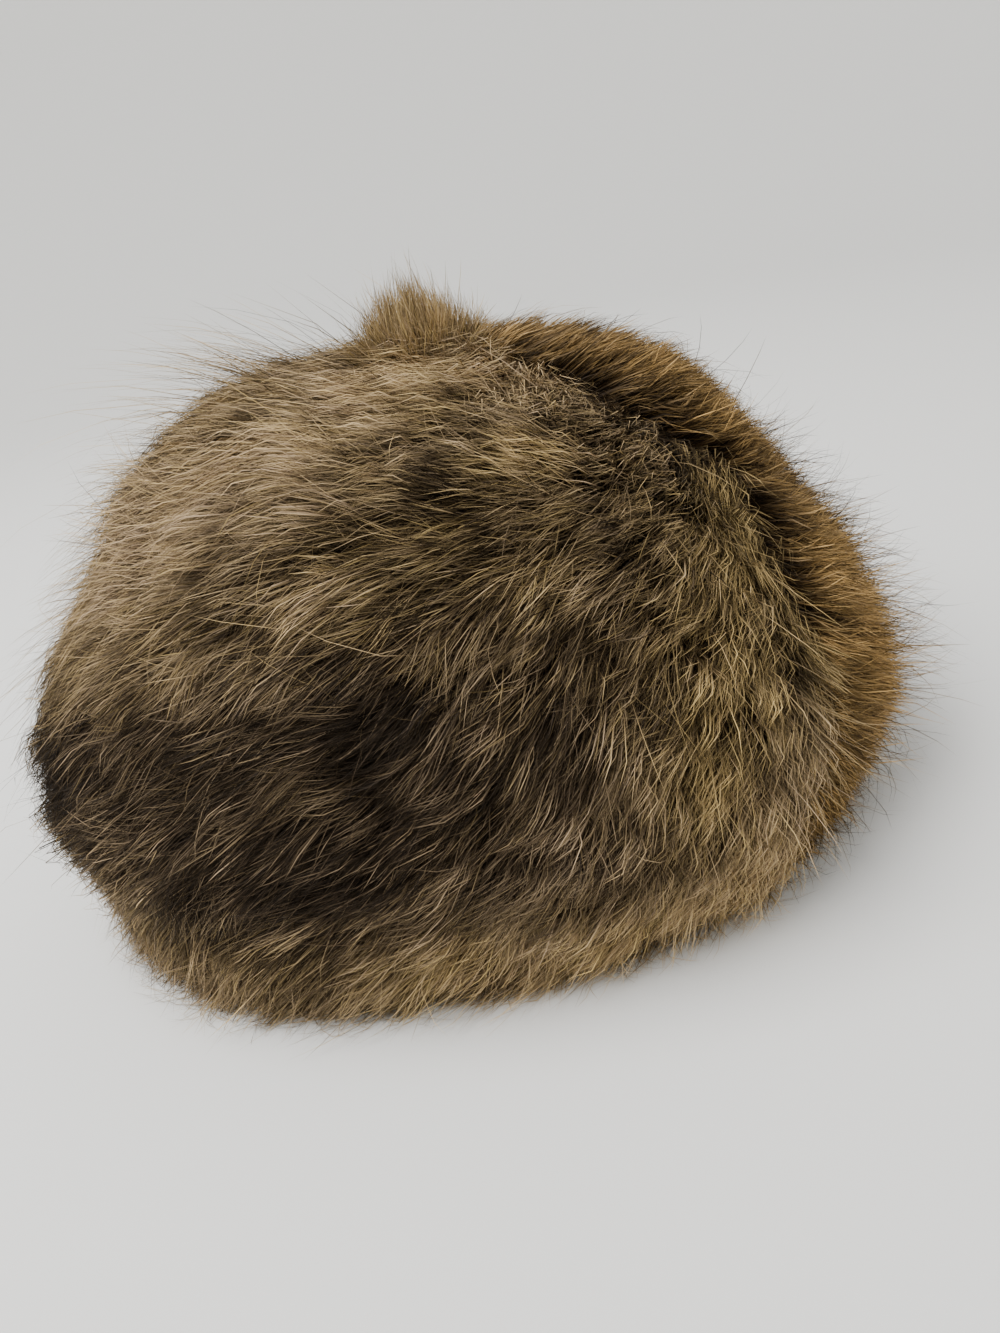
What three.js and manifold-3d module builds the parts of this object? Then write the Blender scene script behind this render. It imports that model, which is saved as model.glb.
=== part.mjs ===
// A rounded fur hat: a sewn leather skin, open below for the head, and two pelts of deep fur
// round it. The pelts meet in one seam that runs from low at the front right, over the crown,
// to the back. Sizes are in millimetres and +Z is up. The fur's rim rests at z = 0, with the
// leather's edge tucked up inside it. The front of the hat faces -Y, and its right side, as
// worn, faces -X.

import * as THREE from "three";
import Module from "manifold-3d";
import { mergeVertices } from "three/addons/utils/BufferGeometryUtils.js";

const wasm = await Module();
wasm.setup();

// Driving sizes
const SKIN_THICKNESS = 2;
const SKIN_EDGE_HEIGHT = 2.5;
const GAP = 0.3;
const WELD_DISTANCE = 1e-3;
const OVAL_EXPONENT = 2.25;
const SEGMENTS_AROUND = 36;
const LEVELS = 10;

// The fur's outer form, from the rim to the crown, a row for each eighth of the way up:
// the reach to the front, to the back and to each side of the head's axis, and the height
const FUR_FORM = [
  { front: 109, back: 117, side: 96, height: 0 },
  { front: 125, back: 119, side: 104, height: 25 },
  { front: 121, back: 124, side: 106, height: 50 },
  { front: 109, back: 114, side: 96, height: 75 },
  { front: 95, back: 95, side: 83, height: 96 },
  { front: 80, back: 78, side: 68, height: 117 },
  { front: 57, back: 56, side: 49, height: 130.5 },
  { front: 31, back: 29, side: 26, height: 137 },
  { front: 7, back: -7, side: 0, height: 139 },
];

// The outer face of the leather skin at the same levels. Inside it the rim's opening is
// 195 by 158 mm, a head of about 56 cm round
const SKIN_FORM = [
  { front: 96, back: 103, side: 81, height: 0 },
  { front: 98, back: 102, side: 82, height: 22 },
  { front: 97, back: 101, side: 81, height: 45 },
  { front: 89, back: 93, side: 75, height: 68 },
  { front: 76, back: 76, side: 64, height: 87 },
  { front: 60, back: 59, side: 51, height: 103 },
  { front: 41, back: 39, side: 35, height: 113 },
  { front: 21, back: 18, side: 17, height: 118 },
  { front: 5, back: -5, side: 0, height: 119.5 },
];

// Where the fur stands fuller or is pressed in: turn is in degrees from the front towards the
// right side, up is the way up the wall from 0 at the rim to 1 at the crown, across and tall
// are the patch's half sizes in the same units, and fuller is in shares of the fur's depth
const FULLNESS = [
  { place: "low at the back", turn: 155, up: 0.17, across: 30, tall: 0.1, fuller: 0.2 },
  { place: "rim at the right", turn: 120, up: 0, across: 28, tall: 0.08, fuller: 0.4 },
  { place: "parting on the crown", turn: 33, up: 0.72, across: 9, tall: 0.14, fuller: -0.4 },
  { place: "parting down the front", turn: 36, up: 0.4, across: 8, tall: 0.25, fuller: -0.3 },
];

// The seam between the two pelts: its turn from the front at each height, and its straight
// line down the back. The right pelt lies on the side that it faces
const SEAM_FRONT = [
  { height: -20, turn: 50 },
  { height: 35, turn: 48 },
  { height: 50, turn: 44 },
  { height: 66, turn: 34 },
  { height: 88, turn: 29 },
  { height: 104, turn: 24 },
  { height: 114, turn: 32 },
  { height: 160, turn: 36 },
];
const SEAM_BACK_TURN = 208;
const SEAM_FACES_TURN = 120;
const CROWN_CENTRE = new THREE.Vector3(0, -7, 0);

// The dense part of the fur that carries the locks, in shares of the fur's depth: it is
// thickest where the locks are shortest, on the crown and along the seam
const BACKING_DEPTH = 0.56;
const BACKING_DEPTH_AT_PARTING = 0.74;
const CROWN_STARTS = 0.84;
const PARTING_WIDTH = 15;

// Locks of fur: their size, and how close they lie. A lock's sections stand along its length,
// with a share of its width, and their foot and ridge lie that share of the fur's depth above
// the backing, the ridge never above the highest
const LOCK_LENGTH = 40;
const LOCK_WIDTH = 20.8;
const LOCK_SIDES = 3;
const LOCK_COURSES = 9;
const COURSE_STAGGER = 0.5;
const LOWEST_COURSE = 0.09;
const HIGHEST_COURSE = 0.965;
const LOCK_UNEVENNESS = 0.22;
const ROOT_SHIFT_AROUND = 0.2;
const ROOT_SHIFT_UP = 0.055;
const LOCK_STATIONS = [
  { along: 0, wide: 0.55, foot: -0.3, ridge: -0.04 },
  { along: 0.48, wide: 1, foot: -0.1, ridge: 0.38 },
];
const HIGHEST_RIDGE = 0.99;
const LOCK_TIP_DEPTH = 1.02;
const LOWEST_EDGE = 0.01;
const LOWEST_TIP = 0.6;

// The shorter locks that stand along both sides of the seam
const SEAM_LOCK_LENGTH = 27;
const SEAM_LOCK_WIDTH = 17;
const SEAM_LOCK_SPACING = 18;
const SEAM_LOCK_SET_BACK = 5;
const SEAM_LOCKS_FROM = 0.12;
const SEAM_LOCKS_TO = 0.92;

// The way the fur of each pelt is combed: how much towards the back, down the wall, and away
// from the seam where it is parted
const COMBING = {
  right: { back: 0.85, down: 0.75, away: 0.7 },
  left: { back: -0.25, down: 1, away: 0.7 },
};

// The tuft where the pelts' points are gathered at the crown
const TUFT = { locks: 5, height: 10, spread: 7, foot: 4.5, narrowing: 0.8, lean_back: 5, uneven: 0.12 };

const degrees = THREE.MathUtils.degToRad;

function smoothForm(rows) {
  const lengths = new THREE.SplineCurve(rows.map((row) => new THREE.Vector2(row.front, row.back)));
  const sides = new THREE.SplineCurve(rows.map((row) => new THREE.Vector2(row.side, row.height)));
  return (turn, up) => {
    const { x: front, y: back } = lengths.getPoint(up);
    const { x: side, y: height } = sides.getPoint(up);
    const ahead = Math.cos(turn);
    const aside = Math.sin(turn);
    const squared = Math.abs(ahead) ** OVAL_EXPONENT + Math.abs(aside) ** OVAL_EXPONENT;
    const oval = squared ** (-1 / OVAL_EXPONENT);
    const forward = (front - back) / 2 + ((front + back) / 2) * ahead * oval;
    return new THREE.Vector3(-side * aside * oval, -forward, height);
  };
}

const skinForm = smoothForm(SKIN_FORM);
const furForm = smoothForm(FUR_FORM);

function fuller(turn, up) {
  let share = 1;
  for (const patch of FULLNESS) {
    const across = Math.atan2(Math.sin(turn - degrees(patch.turn)), Math.cos(turn - degrees(patch.turn)));
    const far = (across / degrees(patch.across)) ** 2 + ((up - patch.up) / patch.tall) ** 2;
    share += patch.fuller * Math.exp(-far);
  }
  return share;
}

// A point in the fur: depth is 0 on the leather and 1 at the tips
function inFur(turn, up, depth) {
  const point = skinForm(turn, up);
  return point.lerp(furForm(turn, up), depth * fuller(turn, up));
}

function tangents(form, turn, up) {
  const step = 1e-3;
  const low = Math.min(Math.max(up, 0), 1 - 2 * step);
  const here = form(turn, low);
  const around = form(turn + step, low).sub(here).divideScalar(step);
  const upward = form(turn, low + step).sub(here).divideScalar(step);
  const outward = new THREE.Vector3().crossVectors(upward, around).normalize();
  return { around, upward, outward };
}

function backingDepth(turn, up) {
  const crown = THREE.MathUtils.smoothstep(up, CROWN_STARTS, 1);
  const thick = Math.max(crown, partedAt(inFur(turn, up, 1)));
  return THREE.MathUtils.lerp(BACKING_DEPTH, BACKING_DEPTH_AT_PARTING, thick);
}

function backing(turn, up) {
  return inFur(turn, up, backingDepth(turn, up));
}

function partedAt(point) {
  return Math.exp(-((pastSeam(point) / PARTING_WIDTH) ** 2));
}

// The skin's outer face moved along its own normal, cut off level at the rim
function skinFace(turn, up, offset, rimHeight) {
  if (up >= 1) {
    return skinForm(0, 1).add(new THREE.Vector3(0, 0, offset));
  }
  const point = skinForm(turn, up).addScaledVector(tangents(skinForm, turn, up).outward, offset);
  if (up <= 0) {
    point.z = rimHeight;
  }
  return point;
}

// A dome with a wall: rings of points outside and inside, each closed by one point at the crown
// and both joined by a flat ring at the rim
function domeSolid(outerFace, innerFace) {
  const positions = [];
  const triangles = [];
  const ringStart = (face, level) => face * (LEVELS * SEGMENTS_AROUND + 1) + level * SEGMENTS_AROUND;
  for (const face of [outerFace, innerFace]) {
    for (let level = 0; level < LEVELS; level += 1) {
      for (let segment = 0; segment < SEGMENTS_AROUND; segment += 1) {
        positions.push(...face((segment / SEGMENTS_AROUND) * 2 * Math.PI, level / LEVELS).toArray());
      }
    }
    positions.push(...face(0, 1).toArray());
  }
  for (let segment = 0; segment < SEGMENTS_AROUND; segment += 1) {
    const next = (segment + 1) % SEGMENTS_AROUND;
    for (let level = 0; level < LEVELS; level += 1) {
      const [outer, inner] = [ringStart(0, level), ringStart(1, level)];
      const [outerTop, innerTop] = [ringStart(0, level + 1), ringStart(1, level + 1)];
      if (level === LEVELS - 1) {
        triangles.push(outer + segment, outerTop, outer + next);
        triangles.push(inner + segment, inner + next, innerTop);
      } else {
        triangles.push(outer + segment, outerTop + segment, outer + next);
        triangles.push(outer + next, outerTop + segment, outerTop + next);
        triangles.push(inner + segment, inner + next, innerTop + segment);
        triangles.push(inner + next, innerTop + next, innerTop + segment);
      }
    }
    const [outerRim, innerRim] = [ringStart(0, 0), ringStart(1, 0)];
    triangles.push(outerRim + segment, outerRim + next, innerRim + segment);
    triangles.push(outerRim + next, innerRim + next, innerRim + segment);
  }
  return solidOf(positions, triangles);
}

function solidOf(positions, triangles) {
  return new wasm.Manifold(new wasm.Mesh({
    numProp: 3,
    vertProperties: new Float32Array(positions),
    triVerts: new Uint32Array(triangles),
  }));
}

function seamTurn(height) {
  const above = SEAM_FRONT.findIndex((row) => row.height >= height);
  const [low, high] = [SEAM_FRONT[above - 1], SEAM_FRONT[above]];
  return degrees(THREE.MathUtils.mapLinear(height, low.height, high.height, low.turn, high.turn));
}

const seamBack = degrees(SEAM_BACK_TURN);
const seamFaces = degrees(SEAM_FACES_TURN);
const awayFromSeam = new THREE.Vector3(-Math.sin(seamFaces), -Math.cos(seamFaces), 0);

// The space of one pelt: a wedge between the seam's front and back lines, whose point lies at
// the crown's centre, half a gap back from the seam
function peltSpace(side) {
  const reach = 200;
  const steps = 8;
  const sign = side === "right" ? 1 : -1;
  const centre = CROWN_CENTRE.clone().addScaledVector(awayFromSeam, (sign * GAP) / 2);
  const heights = SEAM_FRONT.map((row) => row.height);
  heights[0] = 0;
  const positions = [];
  const triangles = [];
  const size = steps + 2;
  for (const height of heights) {
    const front = seamTurn(height);
    const end = side === "right" ? seamBack : seamBack - 2 * Math.PI;
    positions.push(centre.x, centre.y, height);
    for (let step = 0; step <= steps; step += 1) {
      const turn = front + ((end - front) * step) / steps;
      positions.push(centre.x - reach * Math.sin(turn), centre.y - reach * Math.cos(turn), height);
    }
  }
  const top = (heights.length - 1) * size;
  const face = (a, b, c) => (side === "right" ? triangles.push(a, c, b) : triangles.push(a, b, c));
  for (let step = 1; step < size - 1; step += 1) {
    face(0, step + 1, step);
    face(top, top + step, top + step + 1);
  }
  for (let level = 0; level < heights.length - 1; level += 1) {
    const [low, high] = [level * size, (level + 1) * size];
    for (let corner = 0; corner < size; corner += 1) {
      const next = (corner + 1) % size;
      face(low + corner, low + next, high + corner);
      face(low + next, high + next, high + corner);
    }
  }
  return solidOf(positions, triangles);
}

// How far a point lies on the right pelt's side of the seam, in mm, less than 0 on the left
function pastSeam(point) {
  const out = point.clone().sub(CROWN_CENTRE).setZ(0);
  const turn = Math.atan2(-out.x, -out.y);
  const fromFront = turn - seamTurn(point.z);
  const fromBack = Math.atan2(Math.sin(seamBack - turn), Math.cos(seamBack - turn));
  const nearest = Math.abs(fromFront) < Math.abs(fromBack) ? fromFront : fromBack;
  return out.length() * Math.sin(THREE.MathUtils.clamp(nearest, -Math.PI / 2, Math.PI / 2));
}

function combed(side, turn, up, point) {
  const { around, upward, outward } = tangents(furForm, turn, up);
  const way = COMBING[side];
  const direction = new THREE.Vector3(0, way.back, 0);
  direction.addScaledVector(upward.clone().normalize(), -way.down);
  direction.addScaledVector(awayFromSeam, way.away * partedAt(point) * (side === "right" ? 1 : -1));
  direction.addScaledVector(outward, -direction.dot(outward)).normalize();
  return { direction, around, upward, outward };
}

// One lock: three-sided sections that follow the way the fur is combed and run out to a tip
function lockSolid(side, turn, up, length, width) {
  const positions = [];
  let travelled = 0;
  let place = { turn, up };
  const walkTo = (along) => {
    const onTop = inFur(place.turn, place.up, 1);
    const { direction, around, upward } = combed(side, place.turn, place.up, onTop);
    const far = (along - travelled) * length;
    place.turn += (far * direction.dot(around)) / around.lengthSq();
    place.up = Math.max(place.up + (far * direction.dot(upward)) / upward.lengthSq(), 0);
    travelled = along;
  };
  for (const station of LOCK_STATIONS) {
    walkTo(station.along);
    const rooted = backingDepth(place.turn, place.up);
    const foot = inFur(place.turn, place.up, rooted + station.foot);
    const { direction, outward } = combed(side, place.turn, place.up, foot);
    const across = new THREE.Vector3().crossVectors(outward, direction);
    const half = (width * station.wide) / 2;
    const corners = [
      foot.clone().addScaledVector(across, -half),
      foot.clone().addScaledVector(across, half),
      inFur(place.turn, place.up, Math.min(rooted + station.ridge, HIGHEST_RIDGE)),
    ];
    for (const corner of corners) {
      positions.push(corner.x, corner.y, Math.max(corner.z, LOWEST_EDGE));
    }
  }
  walkTo(1);
  const tip = inFur(place.turn, place.up, LOCK_TIP_DEPTH);
  positions.push(tip.x, tip.y, Math.max(tip.z, LOWEST_TIP));
  return sectionsToTip(positions);
}

// A closed body from three-sided sections and, after the last section, one tip
function sectionsToTip(positions) {
  const triangles = [0, 2, 1];
  const tip = positions.length / 3 - 1;
  for (let low = 0; low < tip; low += LOCK_SIDES) {
    for (let corner = 0; corner < LOCK_SIDES; corner += 1) {
      const next = (corner + 1) % LOCK_SIDES;
      const high = low + LOCK_SIDES;
      if (high === tip) {
        triangles.push(low + corner, low + next, tip);
      } else {
        triangles.push(low + corner, low + next, high + next);
        triangles.push(low + corner, high + next, high + corner);
      }
    }
  }
  return solidOf(positions, triangles);
}

// Courses of locks from the rim to the crown, set like roof tiles, each on its root's pelt
function peltLocks() {
  const locks = { left: [], right: [] };
  THREE.MathUtils.seededRandom(41);
  const uneven = () => 1 + LOCK_UNEVENNESS * (2 * THREE.MathUtils.seededRandom() - 1);
  for (let course = 0; course < LOCK_COURSES; course += 1) {
    const up = THREE.MathUtils.lerp(LOWEST_COURSE, HIGHEST_COURSE, course / (LOCK_COURSES - 1));
    const count = Math.round(ringLength(up) / LOCK_WIDTH);
    for (let index = 0; index < count; index += 1) {
      const aside = COURSE_STAGGER * (course % 2) + ROOT_SHIFT_AROUND * uneven();
      const turn = ((index + aside) / count) * 2 * Math.PI;
      const rootUp = up + ROOT_SHIFT_UP * (uneven() - 1);
      const side = pastSeam(backing(turn, rootUp)) > 0 ? "right" : "left";
      locks[side].push(lockSolid(side, turn, rootUp, LOCK_LENGTH * uneven(), LOCK_WIDTH * uneven()));
    }
  }
  for (const { side, turn, up } of seamRoots()) {
    locks[side].push(lockSolid(side, turn, up, SEAM_LOCK_LENGTH * uneven(), SEAM_LOCK_WIDTH * uneven()));
  }
  return locks;
}

// Roots along the seam's front and back lines, set back a little into each pelt
function seamRoots() {
  const roots = [];
  const lines = [
    { toRight: 1, turnAt: (up) => seamTurn(inFur(seamTurn(0), up, 1).z) },
    { toRight: -1, turnAt: () => seamBack },
  ];
  const step = 0.005;
  for (const { toRight, turnAt } of lines) {
    let last = null;
    for (let up = SEAM_LOCKS_FROM; up < SEAM_LOCKS_TO; up += step) {
      const turn = turnAt(up);
      const here = inFur(turn, up, 1);
      if (last && here.distanceTo(last) < SEAM_LOCK_SPACING) {
        continue;
      }
      last = here;
      const reach = here.clone().sub(CROWN_CENTRE).setZ(0).length();
      const aside = (toRight * SEAM_LOCK_SET_BACK) / reach;
      roots.push({ side: "right", turn: turn + aside, up }, { side: "left", turn: turn - aside, up });
    }
  }
  return roots;
}

function ringLength(up) {
  let length = 0;
  for (let segment = 0; segment < SEGMENTS_AROUND; segment += 1) {
    const turn = (segment / SEGMENTS_AROUND) * 2 * Math.PI;
    length += furForm(turn, up).distanceTo(furForm(turn + (2 * Math.PI) / SEGMENTS_AROUND, up));
  }
  return length;
}

// The tuft's locks stand up from the crown of the left pelt and lean a little to the back
function tuftLocks() {
  const crown = furForm(0, 1);
  const rootHeight = backing(0, 1).z - TUFT.foot;
  const locks = [];
  for (let index = 0; index < TUFT.locks; index += 1) {
    const turn = (index / TUFT.locks) * 2 * Math.PI;
    const out = new THREE.Vector3(Math.cos(turn), Math.sin(turn), 0);
    const across = new THREE.Vector3(-out.y, out.x, 0);
    const centre = crown.clone().addScaledVector(out, TUFT.foot);
    const positions = [];
    for (const [height, share] of [[rootHeight, 1], [crown.z, TUFT.narrowing]]) {
      const wide = TUFT.foot * share;
      const middle = centre.clone().setZ(height);
      for (const [aside, ahead] of [[-1, -1], [0, 1], [1, -1]]) {
        const corner = middle.clone().addScaledVector(across, aside * wide);
        positions.push(...corner.addScaledVector(out, ahead * wide).toArray());
      }
    }
    const tip = crown.clone().addScaledVector(out, TUFT.spread);
    const rise = TUFT.height * (1 - TUFT.uneven * (index % 3));
    positions.push(tip.x, tip.y + TUFT.lean_back, tip.z + rise);
    locks.push(sectionsToTip(positions));
  }
  return locks;
}

function pelt(side, locks) {
  const bare = domeSolid(
    backing,
    (turn, up) => skinFace(turn, up, GAP, 0),
  );
  return locks.reduce((fur, lock) => fur.add(lock), bare).intersect(peltSpace(side));
}

function namedMesh(name, solid, look) {
  const { vertProperties, triVerts } = solid.getMesh();
  const geometry = new THREE.BufferGeometry();
  geometry.setAttribute("position", new THREE.BufferAttribute(vertProperties, 3));
  geometry.setIndex(new THREE.BufferAttribute(triVerts, 1));
  const material = new THREE.MeshStandardMaterial({ ...look, metalness: 0, flatShading: true });
  const mesh = new THREE.Mesh(mergeVertices(geometry, WELD_DISTANCE), material);
  mesh.name = name;
  return mesh;
}

const skin = domeSolid(
  (turn, up) => skinFace(turn, up, 0, SKIN_EDGE_HEIGHT),
  (turn, up) => skinFace(turn, up, -SKIN_THICKNESS, SKIN_EDGE_HEIGHT),
);
const locks = peltLocks();
const furRight = pelt("right", locks.right);
const furLeft = pelt("left", [...locks.left, ...tuftLocks()]);
const hat = new THREE.Group();
hat.add(namedMesh("leather_skin", skin, { color: 0xc9b394, roughness: 0.85 }));
hat.add(namedMesh("fur_right", furRight, { color: 0x6b563b, roughness: 0.95 }));
hat.add(namedMesh("fur_left", furLeft, { color: 0x8a6c42, roughness: 0.95 }));

// Seen from above, the middle of the hat's length and width stands on the origin
const box = new THREE.Box3().setFromObject(hat, true);
hat.position.set(-(box.min.x + box.max.x) / 2, -(box.min.y + box.max.y) / 2, 0);

export default hat;
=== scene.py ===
import math

import bpy
import numpy as np
from mathutils import Matrix, Vector, kdtree


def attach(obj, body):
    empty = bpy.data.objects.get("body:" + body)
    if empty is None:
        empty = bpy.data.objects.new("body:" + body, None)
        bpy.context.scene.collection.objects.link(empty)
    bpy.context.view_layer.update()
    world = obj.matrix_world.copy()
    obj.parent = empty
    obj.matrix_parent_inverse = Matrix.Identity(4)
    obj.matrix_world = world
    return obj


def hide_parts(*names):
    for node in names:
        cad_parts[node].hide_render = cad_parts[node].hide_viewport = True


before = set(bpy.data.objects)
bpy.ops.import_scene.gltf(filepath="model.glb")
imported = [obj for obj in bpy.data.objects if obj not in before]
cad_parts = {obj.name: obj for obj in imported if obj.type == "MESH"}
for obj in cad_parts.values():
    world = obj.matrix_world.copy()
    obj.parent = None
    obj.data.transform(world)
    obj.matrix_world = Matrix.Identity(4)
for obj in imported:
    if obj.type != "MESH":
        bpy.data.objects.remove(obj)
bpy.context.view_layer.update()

# The photographer's view: a wide lens 0.3 m from the middle of the hat, off its right side, looking
# down on it. The hat was worn with its front up, so against the level hat the camera leans.
MM = 0.001
PHOTO_LONG_SIDE = 1333
FOCAL_LENGTH = 1000
SENSOR = 36.0
LOOKING_DOWN = math.radians(28.0)
WORN_TILT = math.radians(11.3)
TILTED_ABOUT = Vector((0.0, 0.43, 70.0)) * MM
FROM_CAMERA = dict(right=-15.3 * MM, away=276.1 * MM, up=-116.5 * MM)
NEAREST_SEEN = 10 * MM


def as_the_hat_has_it(right, away, up):
    """Turns a direction from the photographer's axes to those of the level hat."""
    forward = right * math.cos(WORN_TILT) + up * math.sin(WORN_TILT)
    return Vector((away, -forward, up * math.cos(WORN_TILT) - right * math.sin(WORN_TILT)))


camera_data = bpy.data.cameras.new("camera")
camera_data.sensor_width = SENSOR
camera_data.lens = SENSOR * FOCAL_LENGTH / PHOTO_LONG_SIDE
camera_data.clip_start = NEAREST_SEEN
camera = bpy.data.objects.new("camera", camera_data)
bpy.context.scene.collection.objects.link(camera)
sideways = as_the_hat_has_it(1, 0, 0)
looking = as_the_hat_has_it(0, math.cos(LOOKING_DOWN), -math.sin(LOOKING_DOWN))
camera_axes = Matrix((sideways, sideways.cross(looking), -looking)).transposed()
standing = TILTED_ABOUT - as_the_hat_has_it(**FROM_CAMERA)
camera.matrix_world = Matrix.Translation(standing) @ camera_axes.to_4x4()
bpy.context.scene.camera = camera

# The leather: the flesh side of the sewn pelts, a matt undyed suede 2 mm thick, blocked to the
# shape of the head. A furrier's seam, seen as a ridge inside, joins the pelts over the crown.
OVAL_EXPONENT = 2.25
COLUMNS = ("front", "back", "side", "height")
# How far the form reaches to the front, the back and the side at each height, in mm
SKIN_FORM = [
    dict(front=96, back=103, side=81, height=0),
    dict(front=98, back=102, side=82, height=22),
    dict(front=97, back=101, side=81, height=45),
    dict(front=89, back=93, side=75, height=68),
    dict(front=76, back=76, side=64, height=87),
    dict(front=60, back=59, side=51, height=103),
    dict(front=41, back=39, side=35, height=113),
    dict(front=21, back=18, side=17, height=118),
    dict(front=5, back=-5, side=0, height=119.5),
]
SKIN_THICKNESS = 2 * MM
SKIN_EDGE_HEIGHT = 2.5 * MM
# The seam's turn from the front towards the right, in degrees, at heights in mm
SEAM_FRONT = [
    dict(height=-20, turn=50),
    dict(height=35, turn=48),
    dict(height=50, turn=44),
    dict(height=66, turn=34),
    dict(height=88, turn=29),
    dict(height=104, turn=24),
    dict(height=114, turn=32),
    dict(height=160, turn=36),
]
SEAM_BACK_TURN = math.radians(208)
CROWN_CENTRE = np.array((0.0, -7 * MM, 0.0))
CENTRING = np.array((0.0, 0.43 * MM, 0.0))
SKIN_TURNS, SKIN_LEVELS = 100, 36
SKIN_LEVELS_EASED = 0.9
SEAM_RIDGE_HEIGHT, SEAM_RIDGE_WIDTH = 1.3 * MM, 1.6 * MM


def between_rows(rows, columns, up):
    """The rows' values at a share of the way up the wall, on a smooth curve through them."""
    values = np.array([[row[name] for name in columns] for row in rows]) * MM
    last = len(rows) - 1
    place = np.clip(up, 0, 1) * last
    below = np.minimum(np.floor(place).astype(int), last - 1)
    share = (place - below)[..., None]
    before, here = values[np.maximum(below - 1, 0)], values[below]
    above, beyond = values[below + 1], values[np.minimum(below + 2, last)]
    rise_here, rise_above = (above - before) / 2, (beyond - here) / 2
    cubic = 2 * here - 2 * above + rise_here + rise_above
    square = -3 * here + 3 * above - 2 * rise_here - rise_above
    return cubic * share**3 + square * share**2 + rise_here * share + here


def on_form(rows, turn, up):
    """A point of an oval dome: turn goes from the front towards the hat's right side."""
    turn, up = np.broadcast_arrays(turn, up)
    front, back, side, height = np.moveaxis(between_rows(rows, COLUMNS, up), -1, 0)
    ahead, aside = np.cos(turn), np.sin(turn)
    squared = np.abs(ahead) ** OVAL_EXPONENT + np.abs(aside) ** OVAL_EXPONENT
    oval = squared ** (-1 / OVAL_EXPONENT)
    forward = (front - back) / 2 + (front + back) / 2 * ahead * oval
    return np.stack((-side * aside * oval, -forward, height), axis=-1)


def length_of(vectors):
    return np.linalg.norm(vectors, axis=-1, keepdims=True)


def unit(vectors):
    return vectors / np.maximum(length_of(vectors), 1e-9)


def form_ways(rows, turn, up):
    """How the form runs on around and upward, and its outward normal."""
    step = 1e-3
    low = np.clip(up, 0, 1 - 2 * step)
    here = on_form(rows, turn, low)
    around = (on_form(rows, turn + step, low) - here) / step
    upward = (on_form(rows, turn, low + step) - here) / step
    return around, upward, unit(np.cross(upward, around))


def azimuth(points):
    """The turn of points round the crown's centre, from the front towards the right side."""
    out = points - CROWN_CENTRE
    return np.arctan2(-out[..., 0], -out[..., 1])


def difference(turn, other):
    return np.arctan2(np.sin(turn - other), np.cos(turn - other))


def seam_turn(height):
    heights = [row["height"] * MM for row in SEAM_FRONT]
    return np.radians(np.interp(height, heights, [row["turn"] for row in SEAM_FRONT]))


def past_seam(points):
    """How far points lie on the right pelt's side of the seam, less than 0 on the left pelt."""
    turn = azimuth(points)
    from_front = difference(turn, seam_turn(points[..., 2]))
    from_back = difference(SEAM_BACK_TURN, turn)
    nearest = np.where(np.abs(from_front) < np.abs(from_back), from_front, from_back)
    reach = np.hypot(*np.moveaxis(points - CROWN_CENTRE, -1, 0)[:2])
    return reach * np.sin(np.clip(nearest, -np.pi / 2, np.pi / 2))


def walled_mesh(name, outer, inner, closed):
    """A solid between an outer and an inner grid of points, level by level, with one crown point
    each. A closed grid goes all the way round, and an open one gets a wall at each end."""
    levels, turns = outer.shape[:2]
    each = (levels - 1) * turns + 1
    points = [outer[:-1].reshape(-1, 3), outer[-1, :1], inner[:-1].reshape(-1, 3), inner[-1, :1]]
    polygons = []
    for turn in range(turns if closed else turns - 1):
        beside = (turn + 1) % turns
        for level in range(levels - 2):
            low, high = level * turns, (level + 1) * turns
            polygons.append((low + turn, high + turn, high + beside, low + beside))
            wall = (low + beside, high + beside, high + turn, low + turn)
            polygons.append(tuple(each + point for point in wall))
        low = (levels - 2) * turns
        polygons.append((low + turn, each - 1, low + beside))
        polygons.append((each + low + beside, 2 * each - 1, each + low + turn))
        polygons.append((turn, beside, each + beside, each + turn))
    ends = [] if closed else [(0, True), (turns - 1, False)]
    for turn, first in ends:
        line = [level * turns + turn for level in range(levels - 1)] + [each - 1]
        for low, high in zip(line, line[1:]):
            wall = (low, each + low, each + high, high)
            polygons.append(wall if first else wall[::-1])
    mesh = bpy.data.meshes.new(name)
    mesh.from_pydata((np.concatenate(points) + CENTRING).tolist(), [], polygons)
    mesh.polygons.foreach_set("use_smooth", np.ones(len(mesh.polygons), bool))
    return mesh


def hat_piece(name, mesh, look, node):
    """Puts a mesh on the hat in its material, as a piece that stands for a CAD node."""
    mesh.materials.append(look)
    piece = bpy.data.objects.new(name, mesh)
    bpy.context.scene.collection.objects.link(piece)
    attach(piece, "root")
    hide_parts(node)


def material_named(name):
    """A new material with its nodes, links and shader."""
    material = bpy.data.materials.new(name)
    material.use_nodes = True
    nodes, links = material.node_tree.nodes, material.node_tree.links
    return material, nodes, links, nodes["Principled BSDF"]


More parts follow.
